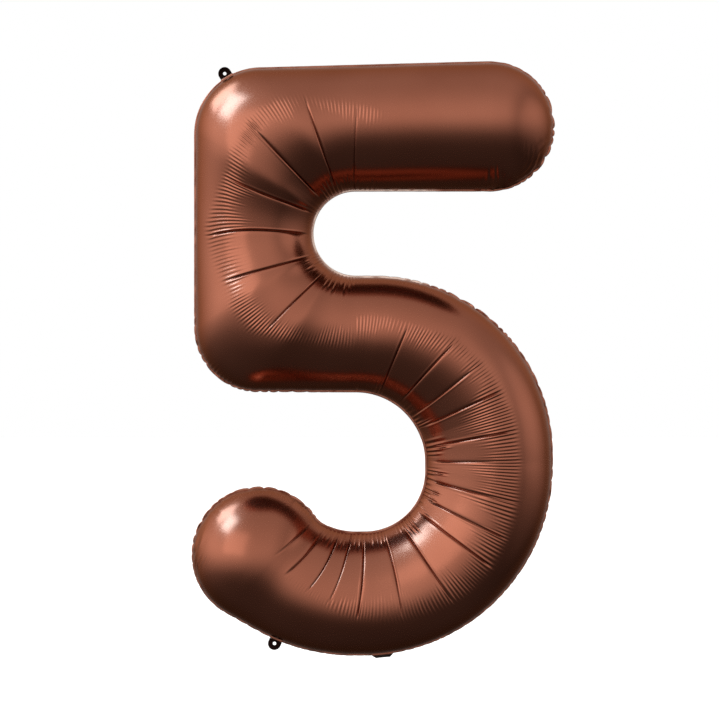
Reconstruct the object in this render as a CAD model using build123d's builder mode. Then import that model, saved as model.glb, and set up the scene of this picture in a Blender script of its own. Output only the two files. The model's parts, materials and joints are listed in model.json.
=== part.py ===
"""Foil number balloon, the figure 5, inflated.

Two panels of metallised film are cut to the same outline and heat-sealed to each other round the edge.
Gas pressure swells them into a tube that follows the figure. Two hang tabs and a filler tail stand out of
the seam, and a flat valve sleeve of two plies hangs inside from the filler tail.

Frame: X to the figure's right, Z up, Y from front to back, and the origin is the centre of the top hang hole.
The outline is laid out with X from the stem's left edge and Z from the foot of the bowl, and place() shifts
its points into the frame.
"""

import os
from math import acos, atan2, cos, degrees, hypot, radians, sin, sqrt

from build123d import *

# Film, thicker than the real film's 0.045 mm.
WALL = 0.8  # film of a swollen panel
PLY = 0.4  # one panel's share of the sealed seam
SEAM = 3.0  # width of the sealed margin outside the swollen tube
SKIRT = 2.0  # how far a half tube is drawn past the seam plane before it is cut there

# The stem, the bars and the notches between them.
STEM_WIDE = 168.0
FOOT_TALL = 175.0  # from the bowl's foot to the hole in the bowl
BOWL_HOLE_R = 104.0
MID_BAR_TALL = 164.0
NOTCH_R = 64.0  # the upper notch, between the top bar and the bowl
ARM_REACH = 195.5  # from the notch's centre to the centre of the top bar's round end
ARM_R = 92.0
BAR_RISE = 9.0  # how much higher the top bar is at its free end than at the stem
DEEPEST = 101.0  # half the depth where the figure is wider than a plain tube

# Corners at the two ends of the stem.
TOP_CORNER_R = 95.0
LOW_CORNER_R = 91.0

# Bowl, with a flatter shoulder towards the notch and a round free end, the tail.
BOWL_PROUD = 27.0  # how far the bowl's full circle would stand above the notch's floor
BOWL_OFF = 2.5  # how far the bowl's centre lies left of the notch's
SHOULDER_OVER = 31.6  # how far the shoulder's centre lies right of the bowl's
HEEL_OUT = 13.0  # how much smaller the heel's radii are, at the bowl's lower right, than the bowl's own
TAIL_R = 96.0
TAIL_ANGLE = -134.0  # seen from the bowl's centre
TAIL_PROUD = 6.7  # how far the tail stands out past the bowl's circle
NOOK_R = 36.0  # rounding where the tail reaches into the bowl's hole

# Hang tabs: ears on the seam, each with a punched hole.
TAB_R = 9.5
HOLE_R = 2.5
HOLE_OUT = 8.5  # from the tube's edge to the hole's centre
CREASE_GAP = 0.7  # from the sealed margin to the crease that a tab or the filler tail bends on
TOP_TAB_ANGLE = 121.0  # seen from the top corner's centre
LOW_TAB_ANGLE = -113.0  # seen from the bowl's centre

# Filler tail and valve sleeve.
FILLER_ANGLE = -84.0  # seen from the heel's centre
FILLER_ROOT = 29.0
FILLER_MOUTH = 21.0
FILLER_LONG = 30.0
FILLER_FOLD = 78.0  # how far the filler tail stands folded to the back
FILLER_PLY = 0.3
SLEEVE_WIDE = 26.0
SLEEVE_LONG = 110.0
SLEEVE_PLY = 0.3
SLEEVE_CLEAR = 3.0  # from the tube's edge to the sleeve's root
SLEEVE_NOTCH_R = 4.0  # bite out of the back ply's free end, so the gas parts the plies
SLEEVE_CORNER = 3.0
CHANNEL_WIDE = 16.0  # the gas channel through the filler tail and the sleeve
CHANNEL_GAP = 0.2  # how far the two plies lie apart

END_SHARES = (0.45, 0.75, 0.92, 0.99)  # where the round ends are cut, as shares of their radius
BAR_STEPS = 3  # sections along the top bar
BEND_STEPS = 24  # sections round the upper notch
BOWL_STEPS = 22  # sections round the bowl


def ring_point(x, z, r, angle):
    """The point of a circle at an angle from +X in degrees."""
    return (x + r * cos(radians(angle)), z + r * sin(radians(angle)))


def bearing(start, end):
    """The angle from +X of the line between two points, in degrees."""
    return degrees(atan2(end[1] - start[1], end[0] - start[0]))


def meeting(one, r_one, two, r_two, side):
    """Where two circles cross, on the left (+1) or right (-1) of the line from the first centre to the second."""
    apart = hypot(two[0] - one[0], two[1] - one[1])
    swing = degrees(acos((r_one**2 + apart**2 - r_two**2) / (2 * r_one * apart)))
    return ring_point(*one, r_one, bearing(one, two) + side * swing)


# Circle centres of the outline.
BOWL_HOLE = (STEM_WIDE + NOTCH_R, FOOT_TALL + BOWL_HOLE_R)
LOW_CORNER = (LOW_CORNER_R, BOWL_HOLE[1] + BOWL_HOLE_R + LOW_CORNER_R)
NOTCH_FLOOR = BOWL_HOLE[1] + BOWL_HOLE_R + MID_BAR_TALL
NOTCH = (BOWL_HOLE[0], NOTCH_FLOOR + NOTCH_R)
ARM = (NOTCH[0] + ARM_REACH, NOTCH[1] + NOTCH_R + ARM_R)
TOP_CORNER = (TOP_CORNER_R, ARM[1] + ARM_R - BAR_RISE - TOP_CORNER_R)
BOWL_R = (NOTCH_FLOOR + BOWL_PROUD) / 2
BOWL = (NOTCH[0] - BOWL_OFF, BOWL_R)
HEEL = (BOWL[0] + HEEL_OUT, BOWL[1] - HEEL_OUT)
HEEL_R = BOWL_R - HEEL_OUT
HOLE_HEEL = (BOWL_HOLE[0] + HEEL_OUT, BOWL_HOLE[1] - HEEL_OUT)
TAIL_FAR = BOWL_R - TAIL_R + TAIL_PROUD
TAIL = ring_point(*BOWL, TAIL_FAR, TAIL_ANGLE)
TAIL_LEFT = TAIL_ANGLE + degrees(acos((BOWL_R - TAIL_R) / TAIL_FAR))  # where a straight run leads on to the bowl
# Where the tail reaches into the bowl's hole, a nook rounds the inner edge between them. Where it stands clear
# of the hole, that edge is a straight run that touches both circles.
TAIL_APART = hypot(BOWL_HOLE[0] - TAIL[0], BOWL_HOLE[1] - TAIL[1])
TAIL_REACHES = TAIL_APART < TAIL_R + BOWL_HOLE_R
if TAIL_REACHES:
    NOOK = meeting(TAIL, TAIL_R + NOOK_R, BOWL_HOLE, BOWL_HOLE_R - NOOK_R, -1)
    HOLE_LEFT = bearing(BOWL_HOLE, NOOK)
    TAIL_MET = bearing(TAIL, NOOK)
else:
    HOLE_LEFT = bearing(BOWL_HOLE, TAIL) + degrees(acos((TAIL_R + BOWL_HOLE_R) / TAIL_APART))
    TAIL_MET = HOLE_LEFT + 180
# The shoulder leaves the notch's floor level and touches the bowl's circle from inside.
SHOULDER_R = (BOWL_R**2 - SHOULDER_OVER**2 - (NOTCH_FLOOR - BOWL_R) ** 2) / (2 * BOWL_PROUD)
SHOULDER = (BOWL[0] + SHOULDER_OVER, NOTCH_FLOOR - SHOULDER_R)

TOP_HOLE = ring_point(*TOP_CORNER, TOP_CORNER_R + HOLE_OUT, TOP_TAB_ANGLE)


def place(point):
    """A layout point in the frame."""
    return Vector(point[0] - TOP_HOLE[0], 0, point[1] - TOP_HOLE[1])


FRONT = Plane(origin=place((0, 0)), x_dir=(1, 0, 0), z_dir=(0, -1, 0))  # the seam plane, facing the front


def seam_plane(centre, r, angle):
    """The seam plane with its origin on a circle of the outline and its own Y pointing out of the figure."""
    origin = place(ring_point(*centre, r, angle))
    return Plane(origin=origin, x_dir=(sin(radians(angle)), 0, -cos(radians(angle))), z_dir=(0, -1, 0))


def outline(grow):
    """The figure's outline on the seam plane as a face, grown by a margin."""
    # Each arc as centre, radius, first angle and last angle, in order round the figure.
    arcs = [
        (ARM, ARM_R + grow, -90, 90),
        (TOP_CORNER, TOP_CORNER_R + grow, 90, 180),
        (LOW_CORNER, LOW_CORNER_R + grow, 180, 270),
        (BOWL_HOLE, BOWL_HOLE_R - grow, 90, 0),
        (HOLE_HEEL, BOWL_HOLE_R - HEEL_OUT - grow, 0, -90),
        (BOWL_HOLE, BOWL_HOLE_R - grow, -90, HOLE_LEFT),
        (TAIL, TAIL_R + grow, TAIL_MET, TAIL_LEFT + 360),
        (BOWL, BOWL_R + grow, TAIL_LEFT, -90),
        (HEEL, HEEL_R + grow, -90, 0),
        (BOWL, BOWL_R + grow, 0, bearing(BOWL, SHOULDER)),
        (SHOULDER, SHOULDER_R + grow, bearing(BOWL, SHOULDER), 90),
        (NOTCH, NOTCH_R - grow, 270, 90),
    ]
    if TAIL_REACHES:
        arcs.insert(6, (NOOK, NOOK_R - grow, HOLE_LEFT, TAIL_MET - 180))
    with BuildSketch() as face:
        with BuildLine():
            ends = []
            for centre, r, first, last in arcs:
                points = [ring_point(*centre, r, a) for a in (first, (first + last) / 2, last)]
                ThreePointArc(*points)
                ends.append((points[0], points[2]))
            for (_, here), (there, _) in zip(ends, ends[1:] + ends[:1]):
                if hypot(here[0] - there[0], here[1] - there[1]) > 0.01:
                    Line(here, there)
        make_face()
    return face.sketch


def stations():
    """The rays that cut the tube crossways between its round ends, each as a start point and an angle."""
    bar = [((ARM[0] - ARM_REACH * i / BAR_STEPS, NOTCH[1]), 90) for i in range(BAR_STEPS)]
    bend = [(NOTCH, 90 + 180 * i / BEND_STEPS) for i in range(BEND_STEPS)]
    sweep_round = 90 - bearing(BOWL_HOLE, TAIL)
    bowl = [(BOWL_HOLE, 90 - sweep_round * i / BOWL_STEPS) for i in range(BOWL_STEPS)]
    return bar + bend + bowl


def section_plane(face, start, angle):
    """A crossways plane centred in the tube, its own X along the ray and its own Y to the front, and half its width."""
    reach = BOWL_R + TOP_CORNER_R
    chords = Edge.make_line(start, ring_point(*start, reach, angle)).intersect(face)
    chord = min(chords, key=lambda edge: (edge @ 0.5 - Vector(*start)).length)
    along = (cos(radians(angle)), 0, sin(radians(angle)))
    middle = chord @ 0.5
    return Plane(origin=place((middle.X, middle.Y)), x_dir=along, z_dir=(along[2], 0, -along[0])), chord.length / 2


def tail_plane():
    """The crossways plane through the tail's centre, which its round end starts from."""
    angle = radians(bearing(BOWL_HOLE, TAIL))
    return Plane(origin=place(TAIL), x_dir=(cos(angle), 0, sin(angle)), z_dir=(sin(angle), 0, -cos(angle)))


def end_planes(plane, radius):
    """Planes across the round end beyond a tube's last section, each with the end's radius there."""
    onward = plane.z_dir
    places = [radius * share for share in END_SHARES]
    return [(Plane(plane.origin + onward * far, plane.x_dir, onward), sqrt(radius**2 - far**2)) for far in places]


def swollen(inset):
    """The front half of the swollen tube with a skirt behind the seam plane, drawn in by an inset on every side."""
    face = outline(-inset)
    planes = [section_plane(face, start, angle) for start, angle in stations()]
    planes.append((tail_plane(), TAIL_R - inset))
    planes = end_planes(*planes[0])[::-1] + planes + end_planes(*planes[-1])
    with BuildPart() as tube:
        for plane, half in planes:
            with BuildSketch(plane):
                with BuildLine():
                    rim = EllipticalCenterArc((0, 0), half, min(half, DEEPEST - inset), arc_size=180)
                    Polyline(rim @ 1, (-half, -SKIRT), (half, -SKIRT), rim @ 0)
                make_face()
        loft()
    return tube.part


skin = swollen(0)
gas = swollen(WALL)

# Front panel: the swollen front half of the figure and its share of the sealed margin round it.
with BuildPart() as front_foil:
    add(skin)
    split(bisect_by=Plane.XZ, keep=Keep.TOP)
    with BuildSketch(FRONT):
        add(outline(SEAM))
    extrude(amount=PLY)
    add(gas, mode=Mode.SUBTRACT)
front_foil.part.label = "front foil panel"

# Back panel: the same piece turned to the back, sealed to the front one over the whole margin.
with BuildPart() as back_foil:
    mirror(front_foil.part, about=Plane.XZ)
back_foil.part.label = "back foil panel"


def tab_face():
    """A hang tab's outline, from its root on the plane's own X to its round end, with the punched hole."""
    neck = HOLE_OUT - SEAM - CREASE_GAP
    with BuildSketch() as tab:
        Rectangle(2 * TAB_R, neck, align=(Align.CENTER, Align.MIN))
        with Locations((0, neck)):
            Circle(TAB_R)
            Circle(HOLE_R, mode=Mode.SUBTRACT)
        Rectangle(2 * TAB_R, 2 * TAB_R, align=(Align.CENTER, Align.MAX), mode=Mode.SUBTRACT)
    return tab.sketch


# Top hang tab: stands out of the seam at the top corner and bends on its root.
top_root = seam_plane(TOP_CORNER, TOP_CORNER_R + SEAM + CREASE_GAP, TOP_TAB_ANGLE)
with BuildPart() as top_hang_tab:
    with BuildSketch(top_root):
        add(tab_face())
    extrude(amount=PLY, both=True)
top_hang_tab.part.label = "top hang tab"

# Lower hang tab: stands out of the seam under the bowl.
low_root = seam_plane(BOWL, BOWL_R + SEAM + CREASE_GAP, LOW_TAB_ANGLE)
with BuildPart() as lower_hang_tab:
    with BuildSketch(low_root):
        add(tab_face())
    extrude(amount=PLY, both=True)
lower_hang_tab.part.label = "lower hang tab"

# Filler tail: a flat tapered tube on the seam under the bowl, folded to the back, with the gas channel through it.
filler_root = seam_plane(HEEL, HEEL_R + SEAM + CREASE_GAP, FILLER_ANGLE)
folded_up = filler_root.y_dir * sin(radians(FILLER_FOLD)) + filler_root.z_dir * cos(radians(FILLER_FOLD))
filler_plane = Plane(filler_root.origin, filler_root.x_dir, folded_up)
with BuildPart() as filler_tail:
    with BuildSketch(filler_plane):
        with BuildLine():
            Polyline(
                (-FILLER_ROOT / 2, 0),
                (FILLER_ROOT / 2, 0),
                (FILLER_MOUTH / 2, FILLER_LONG),
                (-FILLER_MOUTH / 2, FILLER_LONG),
                close=True,
            )
        make_face()
    extrude(amount=FILLER_PLY + CHANNEL_GAP / 2, both=True)
    with BuildSketch(filler_plane):
        Rectangle(CHANNEL_WIDE, FILLER_LONG, align=(Align.CENTER, Align.MIN))
    extrude(amount=CHANNEL_GAP / 2, both=True, mode=Mode.SUBTRACT)
filler_tail.part.label = "filler tail"

# Valve sleeve, front ply: a flat strip inside the tube, with a weld rib down each side that meets the back ply.
sleeve_root = seam_plane(HEEL, HEEL_R - SLEEVE_CLEAR, FILLER_ANGLE)
with BuildPart() as valve_front_ply:
    with BuildSketch(sleeve_root):
        with Locations((0, -SLEEVE_LONG / 2)):
            RectangleRounded(SLEEVE_WIDE, SLEEVE_LONG, SLEEVE_CORNER)
    extrude(amount=CHANNEL_GAP / 2 + SLEEVE_PLY)
    with BuildSketch(sleeve_root):
        with Locations((0, -SLEEVE_LONG / 2)):
            Rectangle(CHANNEL_WIDE, SLEEVE_LONG)
    extrude(amount=CHANNEL_GAP / 2, mode=Mode.SUBTRACT)
valve_front_ply.part.label = "valve sleeve front ply"

# Valve sleeve, back ply: the front ply's mirror image with a bite out of its free end.
with BuildPart() as valve_back_ply:
    mirror(valve_front_ply.part, about=Plane.XZ)
    with BuildSketch(sleeve_root):
        with Locations((0, -SLEEVE_LONG)):
            Circle(SLEEVE_NOTCH_R)
    extrude(amount=-(CHANNEL_GAP / 2 + SLEEVE_PLY), mode=Mode.SUBTRACT)
valve_back_ply.part.label = "valve sleeve back ply"

os.makedirs("parts", exist_ok=True)
export_step(front_foil.part, "parts/front_foil.step")
export_step(back_foil.part, "parts/back_foil.step")
export_step(top_hang_tab.part, "parts/top_hang_tab.step")
export_step(lower_hang_tab.part, "parts/lower_hang_tab.step")
export_step(filler_tail.part, "parts/filler_tail.step")
export_step(valve_front_ply.part, "parts/valve_front_ply.step")
export_step(valve_back_ply.part, "parts/valve_back_ply.step")
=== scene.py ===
import json
import math

import bmesh
import bpy
import numpy as np
from bpy.props import FloatProperty, FloatVectorProperty, PointerProperty
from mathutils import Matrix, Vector, kdtree


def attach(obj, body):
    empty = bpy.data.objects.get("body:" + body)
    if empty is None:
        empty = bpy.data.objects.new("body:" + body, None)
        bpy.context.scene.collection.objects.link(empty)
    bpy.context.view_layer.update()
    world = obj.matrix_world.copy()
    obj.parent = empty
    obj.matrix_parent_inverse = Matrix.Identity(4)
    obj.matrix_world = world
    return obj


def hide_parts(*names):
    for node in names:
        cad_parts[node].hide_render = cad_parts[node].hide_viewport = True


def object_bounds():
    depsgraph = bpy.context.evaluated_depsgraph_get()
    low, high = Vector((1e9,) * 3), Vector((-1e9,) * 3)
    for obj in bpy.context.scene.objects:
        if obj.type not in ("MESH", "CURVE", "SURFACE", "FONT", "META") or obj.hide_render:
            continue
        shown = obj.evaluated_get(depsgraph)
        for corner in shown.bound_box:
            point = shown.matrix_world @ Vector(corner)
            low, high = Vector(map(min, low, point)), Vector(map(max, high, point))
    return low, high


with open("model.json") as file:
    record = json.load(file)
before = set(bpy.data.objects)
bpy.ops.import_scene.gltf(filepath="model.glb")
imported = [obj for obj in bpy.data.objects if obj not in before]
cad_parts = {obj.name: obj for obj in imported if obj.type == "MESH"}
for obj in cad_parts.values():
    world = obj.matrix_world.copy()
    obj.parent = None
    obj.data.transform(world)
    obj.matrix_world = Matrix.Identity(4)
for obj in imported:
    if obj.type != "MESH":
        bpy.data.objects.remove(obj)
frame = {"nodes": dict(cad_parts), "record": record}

bl_info = {
    "name": "Foil number balloon",
    "version": (1, 0, 0),
    "blender": (4, 5, 0),
    "location": "View3D > Sidebar > Balloon",
    "description": "Skins the packed foil balloon with creased metallised film and lights it",
    "category": "Object",
}

CAD_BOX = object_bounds()
MOUNTS = {mount["name"]: Vector(mount["pos_m"]) for mount in frame["record"]["mounts"]}
SEED = 5  # every pattern counts its own seed on from this one


# ---- sizes and colours


def length(name, words, default):
    """A length property, in metres."""
    return FloatProperty(name=name, description=words, default=default, unit="LENGTH", precision=4)


def angle(name, words, degrees):
    """An angle property, shown in degrees."""
    return FloatProperty(name=name, description=words, default=math.radians(degrees), subtype="ANGLE")


def share(name, words, default):
    """A share between nought and one."""
    return FloatProperty(name=name, description=words, default=default, min=0, max=1, subtype="FACTOR")


def colour(name, words, code):
    """A colour property, set from an sRGB hex code and held linear."""
    return FloatVectorProperty(
        name=name, description=words, default=linear(code), size=4, min=0, max=1, subtype="COLOR"
    )


def linear(code):
    """An sRGB hex code as linear red, green, blue and alpha."""
    parts = [int(code[i : i + 2], 16) / 255 for i in (1, 3, 5)]
    return tuple(c / 12.92 if c <= 0.04045 else ((c + 0.055) / 1.055) ** 2.4 for c in parts) + (1.0,)


class FigureSizes(bpy.types.PropertyGroup):
    stem_wide: length("Stem width", "Width of the swollen stem", 0.168)
    foot_tall: length("Foot height", "From the bowl's foot to the hole in the bowl", 0.175)
    bowl_hole_r: length("Bowl hole radius", "Radius of the hole in the bowl", 0.104)
    mid_bar_tall: length("Middle bar height", "Height of the swollen middle bar", 0.164)
    notch_r: length("Notch radius", "Radius of the upper notch", 0.064)
    arm_reach: length("Arm reach", "From the notch's centre to the centre of the arm's round end", 0.1955)
    arm_r: length("Arm radius", "Radius of the arm's round end", 0.092)
    bar_rise: length("Bar rise", "How much higher the bar is at its free end", 0.009)
    deepest: length("Deepest", "Half the depth where the figure is widest", 0.101)
    top_corner_r: length("Top corner radius", "Radius of the stem's top corner", 0.095)
    low_corner_r: length("Low corner radius", "Radius of the stem's low corner", 0.091)
    bowl_proud: length("Bowl proud", "How far the bowl's full circle stands above the notch's floor", 0.027)
    bowl_off: length("Bowl offset", "How far the bowl's centre lies left of the notch's", 0.0025)
    shoulder_over: length("Shoulder offset", "How far the shoulder's centre lies right of the bowl's", 0.0316)
    heel_out: length("Heel offset", "How much smaller the radii are at the bowl's lower right", 0.013)
    tail_r: length("Tail radius", "Radius of the bowl's round free end", 0.096)
    tail_proud: length("Tail proud", "How far the tail stands out past the bowl's circle", 0.0067)
    tail_angle: angle("Tail angle", "Where the tail's centre lies, seen from the bowl's centre", -134)
    nook_r: length("Nook radius", "Rounding between the tail and the bowl's hole", 0.036)
    margin: length("Sealed margin", "Width of the sealed margin outside the tube", 0.003)
    crease_gap: length("Crease gap", "From the margin to the crease that a tab bends on", 0.0007)
    tab_r: length("Tab radius", "Radius of a hang tab", 0.0095)
    hole_r: length("Hole radius", "Radius of a tab's punched hole", 0.0025)
    hole_out: length("Hole distance", "From the tube's edge to the middle of a tab's hole", 0.0085)
    top_tab_angle: angle("Top tab angle", "Where the top tab stands, seen from the corner's centre", 121)
    low_tab_angle: angle("Lower tab angle", "Where the lower tab stands, seen from the bowl's centre", -113)
    filler_angle: angle("Filler angle", "Where the filler tail stands, seen from the heel's centre", -84)
    filler_root: length("Filler root", "Width of the filler tail at its root", 0.029)
    filler_mouth: length("Filler mouth", "Width of the filler tail at its mouth", 0.021)
    filler_long: length("Filler length", "Length of the filler tail", 0.03)
    filler_fold: angle("Filler fold", "How far the filler tail is folded to the back", 78)
    film_ply: length("Film thickness", "Thickness that two sealed films are drawn with", 0.0003)


class FilmSizes(bpy.types.PropertyGroup):
    tuck_deep: length("Tuck depth", "Depth of a long tuck in the film", 0.0024)
    tuck_wide: length("Tuck width", "Width of one side of a tuck's groove", 0.0011)
    # Half the width of the line of painted shade laid along a tuck's middle.
    slit_wide: length("Slit width", "Half the width of the shut line of a tuck", 0.0007)
    facet_deep: length("Facet depth", "How far the film sinks from a facet's middle to its tucks", 0.0007)
    facet_wide: length("Facet width", "How far from a tuck the film is drawn down", 0.009)
    facet_tilt: length("Facet tilt", "How far a facet stands up at one of its tucks", 0.0006)
    pleat_pitch: length("Pleat pitch", "Distance between two fine pleats", 0.005)
    pleat_deep: length("Pleat depth", "Height of a fine pleat", 0.0007)
    seam_pitch: length("Seam pleat pitch", "Distance between two pleats at a seam", 0.0062)
    seam_deep: length("Seam pleat depth", "Height of a pleat at a seam", 0.00075)
    pucker_pitch: length("Pucker pitch", "Distance between two puckers of an outer seam", 0.017)
    pucker_deep: length("Pucker depth", "How far a pucker draws the outer seam in", 0.0034)


class FinishColours(bpy.types.PropertyGroup):
    film: colour("Film", "Lacquer colour over the metal layer", "#AA6A54")
    film_deep: colour("Film in deep print", "The lacquer where it lies thicker", "#985A45")
    film_edge: colour("Sealed margin", "The two films sealed together", "#B07A66")
    # Painted shade: near black, laid along the tucks' middles, and the hang tabs' darker tone.
    film_slit: colour("Shut tuck", "The slit between the walls of a tuck", "#160806")
    film_glance: colour("Film glance", "Light mirrored along the film", "#D9B8A9")
    # Painted shade: the dark brown the film is mixed to where it is seen edge on; the filler tail also takes it
    # as its darker tone and glance.
    film_rim: colour("Film rim", "The lacquer seen along the film", "#54301F")
    # Painted shade: the hang tabs' film colour is darkened almost to black.
    film_ear: colour("Hang tab", "The printed film of the hang tabs, with no gas behind it", "#1F100C")
    # Painted highlight: the pale the sealed margin is mixed to near the notch.
    film_bare: colour("Bare film", "Sealed film that the print leaves bare", "#E8CDBF")
    valve: colour("Valve film", "Clear polyethylene film", "#DADBD6")
    floor: colour("Floor", "Pale studio floor", "#F4F3F1")
    roughness: share("Film roughness", "Satin of the film", 0.23)


def sizes():
    return bpy.context.scene.figure_sizes


def film():
    return bpy.context.scene.film_sizes


def finish():
    return bpy.context.scene.finish_colours


# ---- the figure's outline


def ring_point(centre, r, a):
    """Points of a circle at angles in radians."""
    return np.stack([centre[0] + r * np.cos(a), centre[1] + r * np.sin(a)], -1)


def bearing(start, end):
    """The angle of the way from one point to another."""
    return math.atan2(end[1] - start[1], end[0] - start[0])


class Figure:
    """The outline of the swollen figure on the seam plane, in metres, from its left edge and its foot."""

    STEP = 0.0005  # pitch of the outline's samples
    PAST = 0.05  # how far past the angles asked for the outline's points are used, in radians

    def __init__(self):
        s = sizes()
        self.hole = (s.stem_wide + s.notch_r, s.foot_tall + s.bowl_hole_r)
        self.low = (s.low_corner_r, self.hole[1] + s.bowl_hole_r + s.low_corner_r)
        floor = self.hole[1] + s.bowl_hole_r + s.mid_bar_tall
        self.notch = (self.hole[0], floor + s.notch_r)
        self.arm = (self.notch[0] + s.arm_reach, self.notch[1] + s.notch_r + s.arm_r)
        self.top = (s.top_corner_r, self.arm[1] + s.arm_r - s.bar_rise - s.top_corner_r)
        self.bowl_r = (floor + s.bowl_proud) / 2
        self.bowl = (self.notch[0] - s.bowl_off, self.bowl_r)
        self.heel = (self.bowl[0] + s.heel_out, self.bowl[1] - s.heel_out)
        self.heel_r = self.bowl_r - s.heel_out
        hole_heel = (self.hole[0] + s.heel_out, self.hole[1] - s.heel_out)
        far = self.bowl_r - s.tail_r + s.tail_proud
        self.tail = tuple(ring_point(self.bowl, far, s.tail_angle))
        tail_left = s.tail_angle + math.acos((self.bowl_r - s.tail_r) / far)
        to_tail, to_hole = s.tail_r + s.nook_r, s.bowl_hole_r - s.nook_r
        apart = math.dist(self.tail, self.hole)
        swing = math.acos((to_tail**2 + apart**2 - to_hole**2) / (2 * to_tail * apart))
        nook = tuple(ring_point(self.tail, to_tail, bearing(self.tail, self.hole) - swing))
        r_sh = (self.bowl_r**2 - s.shoulder_over**2 - (floor - self.bowl_r) ** 2) / (2 * s.bowl_proud)
        shoulder = (self.bowl[0] + s.shoulder_over, floor - r_sh)
        quarter, turn = math.pi / 2, 2 * math.pi
        to_nook = bearing(self.hole, nook)
        nook_to_tail = bearing(nook, self.tail)
        to_shoulder = bearing(self.bowl, shoulder)
        arcs = [
            (self.arm, s.arm_r, -quarter, quarter),
            (self.top, s.top_corner_r, quarter, 2 * quarter),
            (self.low, s.low_corner_r, 2 * quarter, 3 * quarter),
            (self.hole, s.bowl_hole_r, quarter, 0),
            (hole_heel, s.bowl_hole_r - s.heel_out, 0, -quarter),
            (self.hole, s.bowl_hole_r, -quarter, to_nook),
            (nook, s.nook_r, to_nook, nook_to_tail),
            (self.tail, s.tail_r, nook_to_tail + math.pi, tail_left + turn),
            (self.bowl, self.bowl_r, tail_left, -quarter),
            (self.heel, self.heel_r, -quarter, 0),
            (self.bowl, self.bowl_r, 0, to_shoulder),
            (shoulder, r_sh, to_shoulder, quarter),
            (self.notch, s.notch_r, 3 * quarter, quarter),
        ]
        runs = []
        for i, (centre, r, first, last) in enumerate(arcs):
            n = max(2, int(abs(last - first) * r / self.STEP))
            runs.append(ring_point(centre, r, np.linspace(first, last, n)))
            centre, r, first, _ = arcs[(i + 1) % len(arcs)]
            here, there = runs[-1][-1], ring_point(centre, r, first)
            gap = float(np.hypot(*(there - here)))
            n = int(gap / self.STEP)
            if n > 1:
                runs.append(here + (there - here) * np.linspace(0, 1, n + 1)[1:-1, None])
        points = np.concatenate(runs)
        apart = np.hypot(*(np.roll(points, -1, 0) - points).T)
        self.points = points[apart > self.STEP / 10]
        steps = np.hypot(*(np.roll(self.points, -1, 0) - self.points).T)
        self.along = np.concatenate([[0], np.cumsum(steps)[:-1]])
        self.round = float(steps.sum())
        ahead = np.roll(self.points, -1, 0) - np.roll(self.points, 1, 0)
        ahead /= np.hypot(*ahead.T)[:, None]
        self.outward = np.stack([ahead[:, 1], -ahead[:, 0]], -1)
        self.top_hole = ring_point(self.top, s.top_corner_r + s.hole_out, s.top_tab_angle)

    def edge(self, centre, angles, low, high):
        """How far the outline lies from a centre at some angles, among its points from low to high away."""
        off = self.points - np.array(centre)
        r = np.hypot(*off.T)
        a = np.arctan2(off[:, 1], off[:, 0])
        first, last = angles.min() - self.PAST, angles.max() + self.PAST
        a = np.where(a < first, a + 2 * math.pi, a)
        a = np.where(a > last, a - 2 * math.pi, a)
        near = (r > low) & (r < high) & (a > first) & (a < last)
        order = np.argsort(a[near])
        return np.interp(angles, a[near][order], r[near][order])

    def nearest(self, x, z):
        """For each point, the index of the nearest outline sample and the distance to it."""
        tree = kdtree.KDTree(len(self.points))
        for i, (px, pz) in enumerate(self.points):
            tree.insert((px, 0, pz), i)
        tree.balance()
        found = [tree.find((px, 0, pz))[1:] for px, pz in zip(x.ravel(), z.ravel())]
        index, far = zip(*found)
        return np.array(index).reshape(x.shape), np.array(far).reshape(x.shape)


DRAWS = 4096  # random values before a pattern repeats


def smooth_step(x):
    """Rises smoothly from nought to one as x does."""
    x = np.clip(x, 0, 1)
    return x * x * (3 - 2 * x)


def wander(x, pitch, seed):
    """Smooth noise along a line: random values one pitch apart, eased into each other."""
    draw = np.random.default_rng(seed).uniform(-1, 1, DRAWS)
    at = np.asarray(x) / pitch + 1000.3  # past nought for every x used here
    i = np.floor(at).astype(int)
    return draw[i % DRAWS] + (draw[(i + 1) % DRAWS] - draw[i % DRAWS]) * smooth_step(at - i)


# ---- the creases, named by where they run

# Long tucks round the notch and the bowl: the angle of the outer end, seen from the notch's or the bowl hole's
# centre, how much of the tube's width it reaches across, the angle of its inner end, its strength, and how many
# degrees it bows to a side.
UPPER_TUCKS = [
    (89, 0.68, 92, 0.5, 0), (111, 0.76, 114, 1.0, -0.6), (134.5, 0.62, 135.5, 1.0, 0.3),
    (157, 0.72, 155.5, 1.1, 2.0), (181.5, 0.86, 182.5, 1.2, -2.6), (201, 0.72, 208, 1.0, -1.5),
    (228.5, 0.56, 232, 0.9, -1.0),
]
BOWL_TUCKS = [
    (69, 0.63, 70.5, 0.8, 0), (50.5, 0.7, 53.5, 0.9, 0), (38.7, 0.68, 38.7, 0.7, 0),
    (26.5, 0.7, 28, 0.9, 0), (12, 0.71, 12, 0.9, 0), (0.8, 0.72, 0.8, 0.5, 0),
    (-14, 0.74, -13.5, 0.9, 0), (-26.6, 0.76, -27, 0.7, 0), (-37, 0.79, -38, 1.0, 0),
    (-55, 0.78, -54, 1.0, 0), (-73, 0.68, -68, 0.8, 0), (-89.5, 0.67, -83.5, 1.0, 0),
    (-101, 0.57, -93.5, 0.8, 0), (-111, 0.52, -103, 0.9, 0.5), (-122.5, 0.48, -115, 1.0, 0.5),
    (-131.5, 0.4, -126, 0.6, 0),
]
# How far the bowl's crest leans out from the tube's middle, as the inner side is slack: angles and leans.
BOWL_LEAN = ([-135, -115, -90, 20, 55, 80], [0.14, 0.17, 0.22, 0.22, 0.1, 0])
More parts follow.
